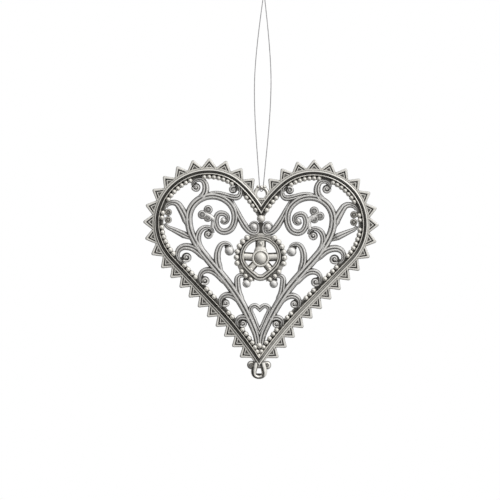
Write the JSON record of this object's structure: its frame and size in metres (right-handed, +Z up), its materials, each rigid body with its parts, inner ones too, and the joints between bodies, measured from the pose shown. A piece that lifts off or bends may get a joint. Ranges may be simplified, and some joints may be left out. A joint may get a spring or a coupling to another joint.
{
  "type": "hanging openwork heart ornament",
  "caption": "Flat openwork heart of soldered tin scrolls in a toothed, beaded border, with a rosette in the middle, hung by a looped thread.",
  "frame": {"origin": "middle of the knot that joins the ends of the hanging thread, where the ornament is hung up", "axes": "+X to the right across the heart seen from its face, +Y from the face to the flat back, +Z up"},
  "size_m": [0.1, 0.0037, 0.1633],
  "materials": {
    "border_tin": "antiqued tinplate, satin",
    "rim_tin": "antiqued tinplate, polished on the crest",
    "scroll_tin": "antiqued tinplate, worn bright on the crest",
    "rosette_tin": "antiqued tinplate, satin",
    "granule_tin": "antiqued tin granules",
    "thread": "clear grey nylon thread"
  },
  "bodies": {
    "hang_knot": {"thread_knot": "thread"},
    "thread": {"hanging_thread": "thread"},
    "heart": {"bead_border": "granule_tin", "cleft_bead": "granule_tin", "cleft_curl_left": "scroll_tin", "cleft_curl_right": "scroll_tin", "crown_stem_left": "scroll_tin", "crown_stem_right": "scroll_tin", "edge_curl_1_left": "scroll_tin", "edge_curl_1_right": "scroll_tin", "edge_curl_2_left": "scroll_tin", "edge_curl_2_right": "scroll_tin", "edge_curl_3_left": "scroll_tin", "edge_curl_3_right": "scroll_tin", "edge_curl_4_left": "scroll_tin", "edge_curl_4_right": "scroll_tin", "foot_loop": "border_tin", "hang_eye": "border_tin", "inner_curl_left": "scroll_tin", "inner_curl_right": "scroll_tin", "leaf_granules_left": "scroll_tin", "leaf_granules_right": "scroll_tin", "leaf_lower_left": "scroll_tin", "leaf_lower_right": "scroll_tin", "leaf_upper_left": "scroll_tin", "leaf_upper_right": "scroll_tin", "lobe_curl_left": "scroll_tin", "lobe_curl_right": "scroll_tin", "rim_ridge": "rim_tin", "root_collar": "granule_tin", "rosette_arm_lower_left": "scroll_tin", "rosette_arm_lower_right": "scroll_tin", "rosette_arm_upper_left": "scroll_tin", "rosette_arm_upper_right": "scroll_tin", "rosette_beads": "granule_tin", "rosette_flower": "rosette_tin", "rosette_ring": "rosette_tin", "small_heart": "scroll_tin", "toothed_border": "border_tin", "trefoil_left": "scroll_tin", "trefoil_right": "scroll_tin", "trunk_left": "scroll_tin", "trunk_right": "scroll_tin"}
  },
  "joints": [
    {"name": "thread_swing", "type": "hinge", "parent": "hang_knot", "child": "thread", "pos_m": [0, 0, 0], "axis": [1, 0, 0], "range_deg": [-30, 30]},
    {"name": "heart_swing", "type": "hinge", "parent": "thread", "child": "heart", "pos_m": [0, 0.0003, -0.0828], "axis": [0, 1, 0], "range_deg": [-25, 25]}
  ]
}
